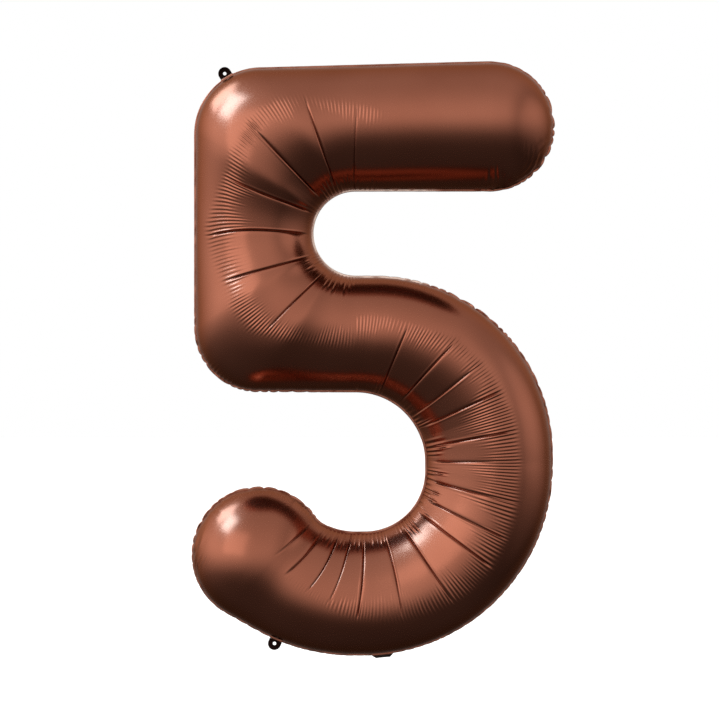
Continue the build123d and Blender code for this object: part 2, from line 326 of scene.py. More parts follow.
# Fine pleats: the angle, how far across the tube their outer ends lie, how long they are, as shares of the
# tube's width, and their strength.
UPPER_PLEATS = [
    (74, 0.6, 0.1, 0.0), (84, 0.64, 0.22, 0.7), (100, 0.72, 0.22, 0.9),
    (112, 0.76, 0.2, 1.0), (134, 0.66, 0.2, 1.0), (158, 0.74, 0.3, 0.7),
    (178, 0.9, 0.42, 0.75), (190, 0.86, 0.4, 0.5), (202, 0.76, 0.3, 0.7),
    (228, 0.6, 0.25, 0.9), (250, 0.62, 0.22, 0.9), (270, 0.64, 0.24, 1.0),
]
BOWL_PLEATS = [
    (90, 0.64, 0.24, 1.0), (69, 0.66, 0.24, 1.0), (60, 0.68, 0.22, 1.0),
    (50, 0.72, 0.26, 1.0), (35, 0.71, 0.34, 1.0), (13, 0.71, 0.45, 1.0),
    (0, 0.71, 0.5, 0.9), (-20, 0.74, 0.5, 0.9), (-45, 0.8, 0.4, 0.9),
    (-65, 0.76, 0.28, 1.0), (-85, 0.7, 0.24, 1.0), (-100, 0.6, 0.18, 0.9),
    (-112, 0.53, 0.12, 0.7), (-124, 0.47, 0.1, 0.0),
]
# Where the seam itself is pleated: a place on the figure, how far the pleats spread along the seam, their
# strength, and how far they run in from it.
SEAM_PATCHES = [
    (0.5, 0.715, 0.05, 1, 0.075), (0.44, 0.675, 0.035, 1, 0.095), (0.518, 0.79, 0.045, 0.6, 0.045),
    (0.008, 0.15, 0.05, 1, 0.075), (0.03, 0.215, 0.03, 0.9, 0.06), (0.075, 0.246, 0.03, 0.8, 0.05),
    (0.15, 0.225, 0.035, 0.9, 0.05), (0.035, 0.4, 0.05, 0.7, 0.05), (0.13, 0.385, 0.06, 0.5, 0.014),
    (0.005, 0.48, 0.04, 0.5, 0.02), (0.345, 0.532, 0.06, 0.6, 0.012), (0.43, 0.48, 0.05, 0.6, 0.012),
    (0.5, 0.38, 0.07, 0.4, 0.01), (0.515, 0.23, 0.07, 0.35, 0.01),
]
# Where an outer seam is drawn into puckers: a place, how far they spread and their strength.
PUCKER_PATCHES = [
    (0.5, 0.73, 0.06, 1), (0.52, 0.78, 0.06, 0.9), (0.47, 0.84, 0.04, 0.3),
    (0.38, 0.525, 0.08, 1), (0.46, 0.46, 0.06, 0.8), (0.508, 0.36, 0.08, 0.5),
    (0.515, 0.23, 0.09, 0.4), (0.46, 0.11, 0.08, 0.3), (0.02, 0.19, 0.06, 0.8),
    (0.09, 0.246, 0.05, 0.9), (0.15, 0.225, 0.04, 0.8), (0.02, 0.42, 0.06, 0.6),
    (0.1, 0.385, 0.06, 0.6), (0.06, 0.06, 0.08, 0.3), (0.2, 0.01, 0.08, 0.2),
    (0.33, 0.01, 0.08, 0.3),
]


class Rays:
    """The rays that cross the tube between its round ends, told apart by an angle about the ring's centre.

    In the upper ring, the top bar's upright rays count on below 90 degrees, by their distance from the notch.
    """

    BAR_TURN = 0.160  # the radius that turns the bar's length into an angle
    SAMPLES = 6000
    # Between which distances from the ring's centre the tube's edges are looked for.
    STEM_EDGE, HOLE_EDGE, BOWL_EDGE = (0.1, 0.34), (0.05, 0.16), (0.16, 0.31)

    def __init__(self, figure, ring):
        g, s = figure, sizes()
        quarter = math.pi / 2
        if ring == "upper":
            self.first, self.last = quarter - s.arm_reach / self.BAR_TURN, 3 * quarter
            self.angles = np.linspace(self.first, self.last, self.SAMPLES)
            beside = np.maximum(quarter - self.angles, 0) * self.BAR_TURN
            self.turn = np.maximum(self.angles, quarter)
            self.start = np.stack([g.notch[0] + beside, np.full(len(beside), g.notch[1])], -1)
            self.inner = np.full(len(beside), s.notch_r)
            x = self.start[:, 0]
            bar = g.arm[1] + s.arm_r - s.bar_rise * (g.arm[0] - x) / (g.arm[0] - g.top[0]) - g.notch[1]
            self.outer = np.where(beside > 0, bar, g.edge(g.notch, self.turn, *self.STEM_EDGE))
            self.tight = np.where(beside > 0, self.BAR_TURN, 0)
        else:
            self.first, self.last = bearing(g.hole, g.tail), quarter
            self.angles = np.linspace(self.first, self.last, self.SAMPLES)
            self.turn = self.angles
            self.start = np.tile(g.hole, (len(self.angles), 1))
            self.inner = g.edge(g.hole, self.angles, *self.HOLE_EDGE)
            self.outer = g.edge(g.hole, self.angles, *self.BOWL_EDGE)
            self.tight = np.zeros(len(self.angles))

    def at(self, angle):
        """At angles: start x and z, direction, inner and outer reach, and the bar rays' fixed radius."""
        wanted = (self.start[:, 0], self.start[:, 1], self.turn, self.inner, self.outer, self.tight)
        return [np.interp(angle, self.angles, table) for table in wanted]

    def run(self, across):
        """How far each ray stands from the first, along a line part of the way across the tube."""
        r = self.inner + (self.outer - self.inner) * across
        r = np.where(self.tight > 0, self.tight, r)
        return np.concatenate([[0], np.cumsum((r[1:] + r[:-1]) / 2 * np.diff(self.angles))])


class Film:
    """One panel of film: a grid whose columns cross the tube, along its tucks, and whose rows follow it."""

    COLUMNS = {"upper": 680, "bowl": 830}
    CAP = 108  # columns round each end
    ROWS = 57
    ROW_CROWD = 0.045  # how much closer the rows stand at the seams and the crest
    TUCK_CROWD, CROWD_WIDE = 1.6, 0.003  # how much closer the columns stand at a tuck, and how far from it
    BAR_CROWD, BAR_END = 0.6, math.radians(70)  # the smooth bar has fewer columns, up to this angle
    EASE = 0.004  # rounds off the change from a round section to one held to the full depth
    TUCK_FADE = 0.08  # share of the tube's width over which a tuck runs out
    LIP_OFF, LIP_WIDE, LIP_HIGH = 2.4, 1.3, 0.22  # a tuck's lip, in widths and depths of its groove
    TILT_TURN = math.radians(0.35)  # where a facet's tilt begins, beside its tuck
    SEAM_FADE = 0.012  # how far in from the seam its puckers are felt
    SWELL_DEEP = 0.0006  # height of the slow unevenness

    def __init__(self, figure, seed, loose):
        self.figure, self.seed = figure, seed
        draw = np.random.default_rng(seed).uniform(-1, 1, (40, 3))
        self.tucks, self.rays = {}, {}
        for ring, tucks in (("upper", UPPER_TUCKS), ("bowl", BOWL_TUCKS)):
            table = np.array(sorted(tucks))
            moved = draw[: len(table)] * loose
            table[:, 0] += moved[:, 0]
            table[:, 2] += moved[:, 0]
            table[:, 1] += moved[:, 1] * 0.03
            table[:, [0, 2, 4]] = np.radians(table[:, [0, 2, 4]])
            self.tucks[ring] = table
            self.rays[ring] = Rays(figure, ring)

    def aligned(self, ring):
        """The angles of the columns of a ring, which stand closer at the tucks."""
        rays = self.rays[ring]
        mid = (rays.inner + rays.outer) / 2
        crowd = np.ones(len(rays.angles))
        for outer in self.tucks[ring][:, 0]:
            crowd += self.TUCK_CROWD * np.exp(-(((rays.angles - outer) * mid / self.CROWD_WIDE) ** 2))
        if ring == "upper":
            crowd *= np.where(rays.angles < self.BAR_END, self.BAR_CROWD, 1)
        total = np.concatenate([[0], np.cumsum(crowd[1:] * mid[1:] * np.diff(rays.angles))])
        return np.interp(np.linspace(0, total[-1], self.COLUMNS[ring]), total, rays.angles)

    def slant(self, ring, angles, across):
        """How far each column's ray is turned at each row, so that the columns run along the tucks."""
        rays, table = self.rays[ring], self.tucks[ring]
        outer, reach, inner, _, bow = table.T
        at = np.concatenate([[rays.first], outer, [rays.last]])
        turned = np.empty((len(angles), len(across)))
        for j, far in enumerate(across):
            run = np.clip(far / reach, 0, 1)
            shift = (inner - outer) * (1 - run) + bow * 4 * run * (1 - run)
            turned[:, j] = np.interp(angles, at, np.concatenate([[0], shift, [0]]))
        return turned

    def shape(self, side):
        """Every vertex of the panel, as x, y and z, in columns from the arm's end to the tail's."""
        turned = np.linspace(0, 1, self.ROWS)
        turned -= self.ROW_CROWD * np.sin(4 * math.pi * turned) / 2
        cap = np.linspace(math.pi / 2, 0, self.CAP + 1)[:-1]  # how far the rays swing round an end
        blocks = []
        for ring in ("upper", "bowl"):
            phi = (turned if ring == "upper" else 1 - turned) * math.pi
            across = (1 - np.cos(phi)) / 2
            columns = self.aligned(ring)
            end = np.full(self.CAP, columns[0])
            if ring == "upper":
                angles = np.concatenate([end, columns[:-1]])
                swing = np.concatenate([cap, np.zeros(len(columns) - 1)])
            else:
                angles = np.concatenate([columns[::-1], end])
                swing = np.concatenate([np.zeros(len(columns)), cap[::-1]])
            blocks.append(self.block(ring, angles, swing, phi, across))
        x, y, z, nx, ny, nz, rise, half, slit = [np.concatenate(pair) for pair in zip(*blocks)]
        g = self.figure
        index, far = g.nearest(x, z)
        inward = np.arccos(np.clip(1 - far / half, -1, 1)) * half
        rise = rise + self.seam_pleats(index, inward) + self.swell(inward, x, z)
        x, y, z = x + nx * rise, y + ny * rise, z + nz * rise
        draw, wave = seam_run(g)
        fade = np.exp(-inward / self.SEAM_FADE)
        out = g.outward[index]
        x = x - out[..., 0] * draw[index] * fade
        z = z - out[..., 1] * draw[index] * fade
        return x, y + wave[index] * fade * (1 if side == "front" else -1), z, slit

    def block(self, ring, angles, swing, phi, across):
        """The smooth tube of one ring, its normals, and how far the film stands off it."""
        rays = self.rays[ring]
        real = angles[:, None] + self.slant(ring, angles, across)
        sx, sz, turn, inner, outer, tight = rays.at(real)
        half, mid = (outer - inner) / 2, (outer + inner) / 2
        over = half - sizes().deepest
        deep = half - (over + np.sqrt(over**2 + self.EASE**2)) / 2
        phi, across, swing, _ = np.broadcast_arrays(phi, across, swing[:, None], real)
        ax, az, ox, oz = np.cos(turn), np.sin(turn), np.sin(turn), -np.cos(turn)
        r = mid - half * np.cos(phi)
        onward = half * np.sin(phi) * np.sin(swing)
        x, z = sx + ax * r + ox * onward, sz + az * r + oz * onward
        lean = np.interp(real, np.radians(BOWL_LEAN[0]), BOWL_LEAN[1]) if ring == "bowl" else 0
        over_crest = phi - lean * np.sin(phi)
        y = -deep * np.sin(over_crest) * np.cos(swing)
        n_across = -np.cos(over_crest) * (1 - lean * np.cos(phi)) * deep
        n_deep = np.sin(phi) * half
        long = np.hypot(n_across, n_deep)
        n_across, n_deep = n_across / long, n_deep / long
        nx = ax * n_across + ox * n_deep * np.sin(swing)
        nz = az * n_across + oz * n_deep * np.sin(swing)
        ny = -n_deep * np.cos(swing)
        metric = np.where(tight > 0, tight, r)
        tucks, slit = self.tucked(ring, angles[:, None], across, metric)
        rise = tucks + self.pleated(ring, angles[:, None], across)
        return x, y, z, nx, ny, nz, rise * (swing == 0), half, slit * (swing == 0)

    def tucked(self, ring, angles, across, metric):
        """Long tucks: a narrow groove with a lip, and between two of them a facet, a little tilted; and a line
        of painted shade along each tuck's middle, for the material to darken.
        """
        f, table = film(), self.tucks[ring]
        rise, slit = np.zeros_like(across), np.zeros_like(across)
        draw = np.random.default_rng(self.seed + 50).uniform(-1, 1, (40, 3))
        for i, (outer, reach, _, strong, _) in enumerate(table):
            off = (angles - outer) * metric
            run = np.clip(across / reach, 0, 1)
            ends = smooth_step((reach - across) / self.TUCK_FADE)
            ends = ends * smooth_step((across - 0.02) / self.TUCK_FADE)
            broad = smooth_step((reach + 0.04 - across) / 0.4) * smooth_step((across + 0.02) / 0.1)
            side = 1 if draw[i, 0] > 0 else -1
            lip = np.exp(-(((off - side * self.LIP_OFF * f.tuck_wide) / (self.LIP_WIDE * f.tuck_wide)) ** 2))
            groove = self.LIP_HIGH * lip - np.exp(-np.abs(off) / f.tuck_wide)
            rise += strong * f.tuck_deep * ends * groove * (0.5 + 0.5 * np.sin(run * math.pi))
            # A thin line of painted shade along the tuck's middle, uneven along its run.
            shut = ends * (0.55 + 0.45 * wander(run, 0.13, self.seed + 80 + i)) * min(strong, 1)
            slit = np.maximum(slit, shut * np.exp(-((off / f.slit_wide) ** 2)))
            rise -= strong * f.facet_deep * broad * np.exp(-np.abs(off) / f.facet_wide)
        at = np.concatenate([[o - self.TILT_TURN, o + self.TILT_TURN] for o in table[:, 0]])
        tilt = np.concatenate([[-draw[i, 1], draw[i + 1, 1]] for i in range(len(table))])
        facet = np.interp(angles, at, tilt, 0, 0) * f.facet_tilt
        top = np.interp(angles, table[:, 0], table[:, 1])
        return rise + facet * smooth_step((top - across) / 0.3) * smooth_step(across / 0.12), slit

    def counted(self, ring, angles, across, pitch, unrest, seed):
        """Pleats along a line part of the way across: the count, the distance and each pleat's number.

        The unrest is how many pleats the count wanders by, and over what distance.
        """
        rays = self.rays[ring]
        run = rays.run(across)
        count = run / pitch + unrest[0] * wander(run, unrest[1], seed)
        count, run = np.interp(angles, rays.angles, count), np.interp(angles, rays.angles, run)
        return count, run, np.floor(count).astype(int) % (DRAWS // 2)

    def pleated(self, ring, angles, across):
        """Fine pleats over the crest, ending together on a crisp line, and short ones at the inner seam."""
        f = film()
        table = np.array(sorted(UPPER_PLEATS if ring == "upper" else BOWL_PLEATS))
        end, long, strong = (np.interp(np.degrees(angles), table[:, 0], table[:, k]) for k in (1, 2, 3))
        seed = self.seed * 10 + (0 if ring == "upper" else 5)
        count, run, whole = self.counted(ring, angles, 0.66, f.pleat_pitch, (0.55, 0.035), seed)
        draw = np.random.default_rng(seed + 1).uniform(0, 1, (4, DRAWS // 2))
        ridge = np.cos(2 * math.pi * (count - np.floor(count) - 0.5))
        out_end = end + 0.012 * wander(run, 0.03, seed + 4) + 0.016 * (draw[0][whole] - 0.5)
        slow = wander(run, 0.028, seed + 5)
        in_end = out_end - long * (0.75 + 0.4 * slow + 0.4 * (draw[1][whole] - 0.5))
        shape = smooth_step((out_end - across) / 0.035)
        shape = shape * smooth_step((across - in_end) / (0.75 * (out_end - in_end)))
        rise = f.pleat_deep * strong * (0.75 + 0.35 * draw[2][whole] + 0.25 * slow) * ridge * shape
        count, run, whole = self.counted(ring, angles, 0.05, f.seam_pitch, (0.5, 0.02), seed + 2)
        reach = 0.06 + 0.1 * draw[3][whole] + 0.05 * wander(run, 0.025, seed + 6)
        some = smooth_step(wander(run, 0.02, seed + 3) * 1.3 + 0.7) * smooth_step((strong - 0.02) / 0.3)
        ridge = np.cos(2 * math.pi * (count - np.floor(count)))
        return rise + f.seam_deep * ridge * smooth_step((reach - across) / 0.06) * some

    def seam_pleats(self, index, inward):
        """Pleats that run in from the seam at the round ends and corners."""
        g, f = self.figure, film()
        strong, reach = np.zeros(len(g.points)), np.full(len(g.points), 0.008)
        for x, z, spread, force, deep in SEAM_PATCHES:
            near = np.exp(-(((g.points[:, 0] - x) ** 2 + (g.points[:, 1] - z) ** 2) / spread**2))
            strong, reach = np.maximum(strong, force * near), np.maximum(reach, deep * near)
        count = g.along / f.seam_pitch + 0.7 * wander(g.along, 0.025, self.seed * 7 + 1)
        whole = np.floor(count).astype(int)
        draw = np.random.default_rng(self.seed * 7 + 2).uniform(0, 1, (2, DRAWS))
        ridge = np.cos(2 * math.pi * (count - whole)) * (0.5 + 0.7 * draw[0][whole % DRAWS]) * strong
        long = (reach * (0.5 + 0.9 * draw[1][whole % DRAWS]))[index]
        ends = smooth_step((long - inward) / (0.5 * long)) * smooth_step(inward / 0.003)
        return f.seam_deep * 1.2 * ridge[index] * ends

    def swell(self, inward, x, z):
        """Slow unevenness of the whole panel."""
        slow = wander(x + 0.6 * z, 0.11, self.seed * 3 + 1) + wander(z - 0.5 * x, 0.13, self.seed * 3 + 2)
        return self.SWELL_DEEP * slow * smooth_step(inward / 0.03)


def seam_run(g):
    """How far the seam is drawn in, and how far it waves forward or back, at every outline sample."""
    f = film()
    x, z = g.points.T
    strong = np.zeros(len(x))
    for px, pz, spread, force in PUCKER_PATCHES:
        strong = np.maximum(strong, force * np.exp(-(((x - px) ** 2 + (z - pz) ** 2) / spread**2)))
    hem = smooth_step(np.minimum(g.along, g.round - g.along) / 0.01)
    count = g.along / f.pucker_pitch + 1.1 * wander(g.along, 0.04, SEED + 31)
    whole = np.floor(count).astype(int)
    draw = np.random.default_rng(SEED + 34).uniform(0, 1, 512)[whole % 512]
    bump = np.abs(np.sin(math.pi * (count - whole)))
    inward = (1 - bump) ** 1.6 * f.pucker_deep * strong * (0.4 + 0.9 * draw)
    inward += 0.00025 * (1 + wander(g.along, 0.011, SEED + 33)) * (0.25 + strong)
    wave = (0.0009 * strong + 0.00005) * wander(g.along, 0.008, SEED + 32)
    return inward * hem, wave * hem


# ---- meshes


MERGE = 2e-6  # points closer than this are one


def grid_piece(x, y, z, **marks):
    """A grid from Blender's own grid, with every vertex moved to its place and doubled points merged.

    Each mark is a value for every vertex, kept under its name for the materials.
    """
    columns, rows = x.shape
    bm = bmesh.new()
    bmesh.ops.create_grid(bm, x_segments=columns - 1, y_segments=rows - 1, size=1)
    mesh = bpy.data.meshes.new("grid")
    bm.to_mesh(mesh)
    where = np.empty(len(mesh.vertices) * 3)
    mesh.vertices.foreach_get("co", where)
    where = (where.reshape(-1, 3)[:, :2] + 1) / 2
    i = np.rint(where[:, 0] * (columns - 1)).astype(int)
    j = np.rint(where[:, 1] * (rows - 1)).astype(int)
    mesh.vertices.foreach_set("co", np.stack([x[i, j], y[i, j], z[i, j]], -1).ravel())
    for name, values in marks.items():
        mesh.attributes.new(name, "FLOAT", "POINT").data.foreach_set("value", values[i, j].ravel())
    bm.clear()
    bm.from_mesh(mesh)
    bpy.data.meshes.remove(mesh)
    bmesh.ops.remove_doubles(bm, verts=bm.verts, dist=MERGE)
    bmesh.ops.recalc_face_normals(bm, faces=bm.faces)
    return bm


def add_piece(name, bm, material):
    """Makes a smooth object of a mesh, at the origin, with its material."""
    mesh = bpy.data.meshes.new(name)
    bm.to_mesh(mesh)
    bm.free()
    mesh.polygons.foreach_set("use_smooth", [True] * len(mesh.polygons))
    piece = bpy.data.objects.new(name, mesh)
    bpy.context.scene.collection.objects.link(piece)
    mesh.materials.append(material)
    return piece


def thicken(piece):
    """Gives a sheet of sealed film its thickness."""
    wall = piece.modifiers.new("two_films", "SOLIDIFY")
    wall.thickness, wall.offset = sizes().film_ply, 0


def into_frame(figure, x, z):
    """Outline coordinates in the frame, where the top hang hole is known."""
    hole = MOUNTS["top_hang_hole"]
    return x - figure.top_hole[0] + hole.x, z - figure.top_hole[1] + hole.z


# ---- materials


def node(tree, kind, settings=None, links=None):
    """Adds a node, with settings by input or attribute name, and links from output sockets by input name."""
    made = tree.nodes.new("ShaderNode" + kind)
    for key, value in (settings or {}).items():
        if isinstance(key, int) or key in made.inputs:
            made.inputs[key].default_value = value
        else:
            setattr(made, key, value)
    for key, socket in (links or {}).items():
        tree.links.new(socket, made.inputs[key])
    return made


def new_material(name):
    """An empty node material and its tree."""
    made = bpy.data.materials.new(name)
    made.use_nodes = True
    made.node_tree.nodes.clear()
    return made, made.node_tree


def blown_film(name, base, deep, glance):
    """Nylon film, vacuum-metallised and printed with a translucent brown lacquer: a satin metal, softly bright.

    The lacquer is a little uneven, which shifts the colour slowly from base to deep, and the embossing
    rollers leave a fine grain. Seen edge on, the colour is mixed towards a dark brown: painted shade at the
    tube's rims, and what they mirror takes the colour of the glance. Along each tuck's middle a thin
    near-black line of painted shade is laid in. Near the notch the sealed margin is painted pale: a painted
    highlight.
    """
    c = finish()
    made, tree = new_material(name)
    place = node(tree, "TexCoord")
    cloud = node(tree, "TexNoise", {"Scale": 9.0, "Detail": 2.0}, {"Vector": place.outputs["Object"]})
    facing = node(tree, "LayerWeight", {"Blend": 0.5})
    # Painted shade at the rims: the more edge on the film is seen, the more its colour goes to the dark rim
    # brown.
    slant = {"From Min": 0.6, "From Max": 0.98, "To Min": 0.0, "To Max": 0.3}
    rim = node(tree, "MapRange", slant, {"Value": facing.outputs["Facing"]})
    # Painted shade along the tucks, read from the panels' mark.
    slit = node(tree, "Attribute", {"attribute_name": "slit"})
    # Painted highlight near the notch, read from the margin's mark.
    bare = node(tree, "Attribute", {"attribute_name": "bare"})
    # Each layer covers those before it by its own amount.
    layers = (
        (cloud.outputs["Fac"], deep),
        (rim.outputs["Result"], c.film_rim),
        (slit.outputs["Fac"], c.film_slit),
        (bare.outputs["Fac"], c.film_bare),
    )
    print_links = {}
    for amount, cover in layers:
        settings = {"data_type": "RGBA", 6: base, 7: cover}
        lacquer = node(tree, "Mix", settings, {0: amount, **print_links}).outputs[2]
        print_links = {6: lacquer}
    grain = node(tree, "TexNoise", {"Scale": 900.0, "Detail": 2.0}, {"Vector": place.outputs["Object"]})
    satin = {"From Min": 0.3, "From Max": 0.7, "To Min": c.roughness - 0.04, "To Max": c.roughness + 0.05}
    rough = node(tree, "MapRange", satin, {"Value": grain.outputs["Fac"]})
    bump = node(tree, "Bump", {"Strength": 0.12, "Distance": 0.0004}, {"Height": grain.outputs["Fac"]})
    shader = node(
        tree,
        "BsdfPrincipled",
        {"Metallic": 1.0, "Specular Tint": glance, "Coat Weight": 0.06, "Coat Roughness": 0.2},
        {"Base Color": lacquer, "Roughness": rough.outputs["Result"], "Normal": bump.outputs["Normal"]},
    )
    node(tree, "OutputMaterial", {}, {"Surface": shader.outputs["BSDF"]})
    return made


def panel_film():
    """The swollen panels' film: satin brown, pale where it mirrors the lights, with painted shade at the rims
    and along the tucks.
    """
    c = finish()
    return blown_film("satin_metallised_nylon_film", c.film, c.film_deep, c.film_glance)


def margin_film():
    """Two films sealed flat together: the same print, a little paler, with a painted highlight near the notch.
    """
    c = finish()
    return blown_film("heat_sealed_film_margin", c.film_edge, c.film_deep, c.film_glance)


def ear_film():
    """The hang tabs' film, painted almost black: painted shade on a flat tab that mirrors no bright light."""
    c = finish()
    return blown_film("printed_film_of_the_hang_tabs", c.film_ear, c.film_slit, c.film_glance)


def filler_film():
    """The filler tail's film: deep brown, with painted shade where it is seen edge on."""
    c = finish()
    return blown_film("printed_film_of_the_filler_tail", c.film_deep, c.film_rim, c.film_rim)


def valve_film():
    """Blown polyethylene film: milky, soft and slightly waxy."""
    made, tree = new_material("blown_polyethylene_valve_film")
    place = node(tree, "TexCoord")
    cloud = node(tree, "TexNoise", {"Scale": 60.0}, {"Vector": place.outputs["Object"]})
    rough = node(tree, "MapRange", {"To Min": 0.3, "To Max": 0.45}, {"Value": cloud.outputs["Fac"]})
    bump = node(tree, "Bump", {"Strength": 0.2, "Distance": 0.0005}, {"Height": cloud.outputs["Fac"]})
    shader = node(
        tree,
        "BsdfPrincipled",
        {"Base Color": tuple(finish().valve), "IOR": 1.51, "Alpha": 0.6},
        {"Roughness": rough.outputs["Result"], "Normal": bump.outputs["Normal"]},
    )
    node(tree, "OutputMaterial", {}, {"Surface": shader.outputs["BSDF"]})
    return made


# ---- operators


class BALLOON_OT_panels(bpy.types.Operator):
    """Make the front and back film panels, swollen, tucked and pleated"""

    bl_idname = "balloon.panels"
    bl_label = "Film panels"

    def execute(self, context):
        figure, material = Figure(), panel_film()
        # The back's tucks stand up to 2.2 degrees from the front's.
        for side, seed, loose in (("front", SEED, 0), ("back", SEED + 6, 2.2)):
            panel = Film(figure, seed, loose)
            x, y, z, slit = panel.shape(side)
            x, z = into_frame(figure, x, z)
            y = y if side == "front" else -y
            bm = grid_piece(x, y, z, slit=slit)
            probe = max(bm.faces, key=lambda f: f.calc_area())
            outward = -1 if side == "front" else 1
            if probe.normal.y * outward < 0:
                bmesh.ops.reverse_faces(bm, faces=bm.faces)
            piece = add_piece(side + "_film_panel", bm, material)
            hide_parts(side + "_foil")
            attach(piece, "balloon")
        return {"FINISHED"}


class BALLOON_OT_margin(bpy.types.Operator):
    """Make the sealed margin that runs round the whole figure outside the tube"""

    bl_idname = "balloon.margin"
    bl_label = "Sealed margin"

    EVERY = 3  # outline samples to one column
    LAP = 0.0012  # how far the margin runs in under the tube's edge
    RUFFLE_PITCH, RUFFLE_DEEP = 0.012, 0.0004
    # The margin is painted pale near the notch, a painted highlight, this far round a point just right of the
    # notch's middle.
    BARE_RIGHT, BARE_REACH, BARE_FADE = 0.03, 0.115, 0.02

    def ledge(self, figure, points):
        """Beside the tabs and the tail: how held the margin is, and how far it goes on to their crease."""
        s = sizes()
        roots = (
            (figure.top, s.top_corner_r, s.top_tab_angle, s.tab_r),
            (figure.bowl, figure.bowl_r, s.low_tab_angle, s.tab_r),
            (figure.heel, figure.heel_r, s.filler_angle, s.filler_root / 2),
        )
        ledge, held = np.zeros(len(points)), np.zeros(len(points))
        for middle, r, at, half in roots:
            root = ring_point(middle, r, at)
            away = np.hypot(points[:, 0] - root[0], points[:, 1] - root[1])
            here = smooth_step((half + 0.0005 - away) / 0.001)
            held = np.maximum(held, here)
            ledge = np.maximum(ledge, here * (s.crease_gap + away**2 / (2 * r)))  # out to a straight line
        return held, ledge

    def execute(self, context):
        figure, margin = Figure(), sizes().margin
        index = np.arange(0, len(figure.points), self.EVERY)
        index = np.append(index, index[0])
        points, outward, along = figure.points[index], figure.outward[index], figure.along[index]
        draw, wave = (table[index] for table in seam_run(figure))
        hem = smooth_step(np.minimum(along, figure.round - along) / 0.01)
        ruffle = wander(along, self.RUFFLE_PITCH, SEED + 41) * self.RUFFLE_DEEP * hem
        held, ledge = self.ledge(figure, points)
        rows = np.array([-self.LAP, *np.linspace(0, margin, 4)])
        x = np.empty((len(index), len(rows)))
        y, z = np.empty_like(x), np.empty_like(x)
        for k, step in enumerate(rows):
            share_out = max(step, 0) / margin
            far = step + ledge * share_out + draw * held * share_out - draw
            x[:, k], z[:, k] = (points + outward * far[:, None]).T
            y[:, k] = wave + ruffle * share_out * (1 - held)
        # Painted highlight: how much of the pale is mixed in near the notch.
        reach = np.hypot(x - figure.notch[0] - self.BARE_RIGHT, z - figure.notch[1])
        bare = smooth_step((self.BARE_REACH - reach) / self.BARE_FADE)
        x, z = into_frame(figure, x, z)
        piece = add_piece("sealed_margin", grid_piece(x, y, z, bare=bare), margin_film())
        thicken(piece)
        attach(piece, "balloon")
        return {"FINISHED"}


CURL = 0.0007  # how far a hang tab's end curls
RIM_DEEP, RIM_WIDE = 0.00016, 0.0004  # the pressed rim of its hole
CRINKLE_DEEP = 0.00016


def tab_grid(hole, out, seed):
    """A hang tab round its punched hole: a grid bent into a ring, a little curled, with a pressed rim."""
    s = sizes()
    neck = s.hole_out - s.margin - s.crease_gap
    turn, share_out = np.meshgrid(np.linspace(0, 2 * math.pi, 97), np.linspace(0, 1, 15), indexing="ij")
    across, along = np.cos(turn), np.sin(turn)
    below = np.minimum(s.tab_r / np.maximum(np.abs(across), 1e-6), neck / np.maximum(-along, 1e-6))
    edge = np.where(along >= 0, s.tab_r, below)
    r = s.hole_r + (edge - s.hole_r) * share_out
    u, v = r * across, r * along
    curl = CURL * ((v + neck) / s.tab_r) ** 2 * np.cos(0.3 + u / s.tab_r)
    rim = RIM_DEEP * np.exp(-(((r - 1.35 * s.hole_r) / RIM_WIDE) ** 2))
    crinkle = CRINKLE_DEEP * (wander(u + 0.4 * v, 0.0031, seed) + wander(v, 0.0023, seed + 1)) * share_out
    y = hole.y - curl - rim + crinkle
    return grid_piece(hole.x - u * out[1] + v * out[0], y, hole.z + u * out[0] + v * out[1])


class BALLOON_OT_tabs(bpy.types.Operator):
    """Make the two hang tabs with their punched holes"""

    bl_idname = "balloon.tabs"
    bl_label = "Hang tabs"

    def execute(self, context):
        s, material = sizes(), ear_film()
        places = (
            ("top_hang_tab", "top_hang_hole", "top_tab", s.top_tab_angle),
            ("lower_hang_tab", "lower_hang_hole", "lower_tab", s.low_tab_angle),
        )
        for i, (node_name, mount, body, at) in enumerate(places):
            out = (math.cos(at), math.sin(at))
            bm = tab_grid(MOUNTS[mount], out, SEED + 60 + 3 * i)
            piece = add_piece(node_name + "_film", bm, material)
            thicken(piece)
            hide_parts(node_name)
            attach(piece, body)
        return {"FINISHED"}


class BALLOON_OT_filler(bpy.types.Operator):
    """Make the filler tail, a flat tapered strip folded to the back"""

    bl_idname = "balloon.filler"
    bl_label = "Filler tail"

    WELD_DEEP, PUFF_DEEP, CRINKLE_DEEP = 0.00012, 0.0003, 0.0002

    def execute(self, context):
        s, figure = sizes(), Figure()
        out = np.array([math.cos(s.filler_angle), math.sin(s.filler_angle)])
        root = np.array(figure.heel) + out * (figure.heel_r + s.margin + s.crease_gap)
        wide, long = np.meshgrid(np.linspace(-0.5, 0.5, 31), np.linspace(0, 1, 41), indexing="ij")
        u = wide * (s.filler_root + (s.filler_mouth - s.filler_root) * long)
        v = long * s.filler_long
        weld = self.WELD_DEEP * np.exp(-(((np.abs(wide) - 0.4) / 0.03) ** 2))
        puff = self.PUFF_DEEP * np.cos(wide * math.pi) * np.sin(long * math.pi)
        crinkle = wander(u + 0.5 * v, 0.006, SEED + 71) + wander(v - 0.3 * u, 0.004, SEED + 72)
        off = puff - weld + self.CRINKLE_DEEP * crinkle * smooth_step(long / 0.1)
        forth = v * math.cos(s.filler_fold) - off * math.sin(s.filler_fold)
        y = v * math.sin(s.filler_fold) + off * math.cos(s.filler_fold)
        x = root[0] + u * out[1] + out[0] * forth
        z = root[1] - u * out[0] + out[1] * forth
        x, z = into_frame(figure, x, z)
        piece = add_piece("filler_tail_film", grid_piece(x, y, z), filler_film())
        thicken(piece)
        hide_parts("filler_tail")
        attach(piece, "filler")
        return {"FINISHED"}


